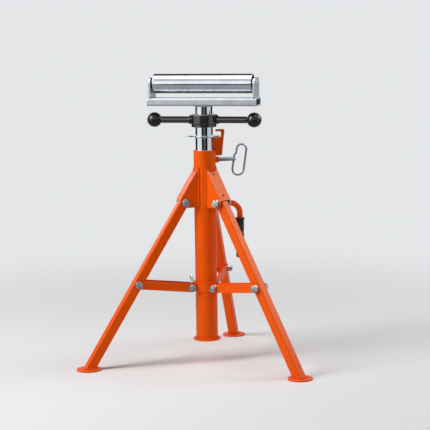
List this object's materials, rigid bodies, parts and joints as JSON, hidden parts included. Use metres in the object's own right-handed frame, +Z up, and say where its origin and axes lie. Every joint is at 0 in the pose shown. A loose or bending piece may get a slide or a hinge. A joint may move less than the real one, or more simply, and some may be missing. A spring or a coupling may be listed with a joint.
{
  "type": "roller stand",
  "caption": "Folding tripod stand: a pinned telescopic post and a screw jack carry a free-turning roller that supports pipe or bar stock.",
  "frame": {"origin": "middle of the underside of the column's base flange, which hangs 58 mm above the floor that the feet stand on", "axes": "+Z up along the column; +X along the roller's axle at rest; legs at 90, 210 and 330 degrees about +Z from +X"},
  "size_m": [0.615, 0.5421, 0.753],
  "materials": {
    "orange_paint": "orange powder coat",
    "chrome": "bright chrome plate",
    "zinc": "bright zinc plate",
    "black_steel": "satin black",
    "black_plastic": "moulded black plastic",
    "grip_rubber": "matt black rubber"
  },
  "bodies": {
    "column": {"column_tube": "orange_paint", "column_base": "orange_paint", "bracket_a": "orange_paint", "bracket_b": "orange_paint", "bracket_c": "orange_paint", "pivot_bolt_a": "zinc", "pivot_bolt_b": "zinc", "pivot_bolt_c": "zinc", "spacer_a_left": "zinc", "spacer_a_right": "zinc", "spacer_b_left": "zinc", "spacer_b_right": "zinc", "spacer_c_left": "zinc", "spacer_c_right": "zinc", "hook_plate": "orange_paint", "pin_bush": "orange_paint", "carry_handle": "orange_paint", "handle_grip": "grip_rubber"},
    "post": {"post_tube": "chrome", "ear_ring": "chrome"},
    "hub": {"nut_hub": "black_steel", "turning_bar_right": "black_steel", "turning_bar_left": "black_steel", "ball_knob_right": "black_plastic", "ball_knob_left": "black_plastic"},
    "screw": {"lift_screw": "zinc"},
    "head": {"head_sleeve": "chrome", "head_base": "chrome", "head_end_right": "chrome", "head_end_left": "chrome", "roller_axle": "zinc"},
    "roller": {"roller_tube": "chrome", "roller_cap_right": "black_steel", "roller_cap_left": "black_steel"},
    "pin": {"lock_pin": "zinc"},
    "bail": {"pin_bail": "chrome"},
    "collar": {"collar_ring": "orange_paint", "collar_bolt_a": "zinc", "collar_bolt_b": "zinc", "collar_bolt_c": "zinc"},
    "wing": {"wing_screw": "chrome"},
    "leg_a": {"leg_a": "orange_paint", "foot_a": "orange_paint", "leg_bush_a": "zinc"},
    "link_a": {"link_a": "orange_paint", "link_bolt_a": "zinc", "link_nut_a": "zinc"},
    "leg_b": {"leg_b": "orange_paint", "foot_b": "orange_paint", "leg_bush_b": "zinc"},
    "link_b": {"link_b": "orange_paint", "link_bolt_b": "zinc", "link_nut_b": "zinc"},
    "leg_c": {"leg_c": "orange_paint", "foot_c": "orange_paint", "leg_bush_c": "zinc"},
    "link_c": {"link_c": "orange_paint", "link_bolt_c": "zinc", "link_nut_c": "zinc"}
  },
  "joints": [
    {"name": "leg_a_fold", "type": "hinge", "parent": "column", "child": "leg_a", "pos_m": [0, 0.0585, 0.365], "axis": [-1, 0, 0], "range_deg": [0, 27]},
    {"name": "leg_b_fold", "type": "hinge", "parent": "column", "child": "leg_b", "pos_m": [-0.05066, -0.02925, 0.365], "axis": [0.5, -0.866, 0], "range_deg": [0, 27]},
    {"name": "leg_c_fold", "type": "hinge", "parent": "column", "child": "leg_c", "pos_m": [0.05066, -0.02925, 0.365], "axis": [0.5, 0.866, 0], "range_deg": [0, 27]},
    {"name": "collar_slide", "type": "slide", "parent": "column", "child": "collar", "axis": [0, 0, 1], "range_m": [0, 0.1214]},
    {"name": "link_a_swing", "type": "hinge", "parent": "collar", "child": "link_a", "pos_m": [0, 0.043, 0.141], "axis": [-1, 0, 0], "range_deg": [0, 82.8]},
    {"name": "link_b_swing", "type": "hinge", "parent": "collar", "child": "link_b", "pos_m": [-0.03724, -0.0215, 0.141], "axis": [0.5, -0.866, 0], "range_deg": [0, 82.8]},
    {"name": "link_c_swing", "type": "hinge", "parent": "collar", "child": "link_c", "pos_m": [0.03724, -0.0215, 0.141], "axis": [0.5, 0.866, 0], "range_deg": [0, 82.8]},
    {"name": "post_slide", "type": "slide", "parent": "column", "child": "post", "axis": [0, 0, 1], "range_m": [0, 0.36]},
    {"name": "hub_turn", "type": "hinge", "parent": "post", "child": "hub", "pos_m": [0, 0, 0.5583], "axis": [0, 0, -1], "range_deg": [0, 5040]},
    {"name": "screw_lift", "type": "slide", "parent": "post", "child": "screw", "axis": [0, 0, 1], "range_m": [0, 0.084]},
    {"name": "head_swivel", "type": "hinge", "parent": "screw", "child": "head", "pos_m": [0, 0, 0.613], "axis": [0, 0, 1], "continuous": true},
    {"name": "roller_spin", "type": "hinge", "parent": "head", "child": "roller", "pos_m": [0, 0, 0.6695], "axis": [1, 0, 0], "continuous": true},
    {"name": "pin_slide", "type": "slide", "parent": "column", "child": "pin", "axis": [-0.866, -0.5, 0], "range_m": [0, 0.025]},
    {"name": "bail_swing", "type": "hinge", "parent": "pin", "child": "bail", "pos_m": [0.06842, 0.0395, 0.472], "axis": [0.1295, 0.0748, 0.9888], "range_deg": [-90, 90]},
    {"name": "wing_turn", "type": "hinge", "parent": "collar", "child": "wing", "pos_m": [-0.0394, 0.02275, 0.143], "axis": [-0.866, 0.5, 0], "range_deg": [0, 540]}
  ],
  "couplings": [
    {"joint": "leg_b_fold", "follows": "leg_a_fold", "ratio": 1},
    {"joint": "leg_c_fold", "follows": "leg_a_fold", "ratio": 1},
    {"joint": "collar_slide", "follows": "leg_a_fold", "m_per_rad": 0.25741},
    {"joint": "link_a_swing", "follows": "leg_a_fold", "ratio": 3.0638},
    {"joint": "link_b_swing", "follows": "leg_a_fold", "ratio": 3.0638},
    {"joint": "link_c_swing", "follows": "leg_a_fold", "ratio": 3.0638},
    {"joint": "screw_lift", "follows": "hub_turn", "m_per_rad": 0.000954}
  ]
}
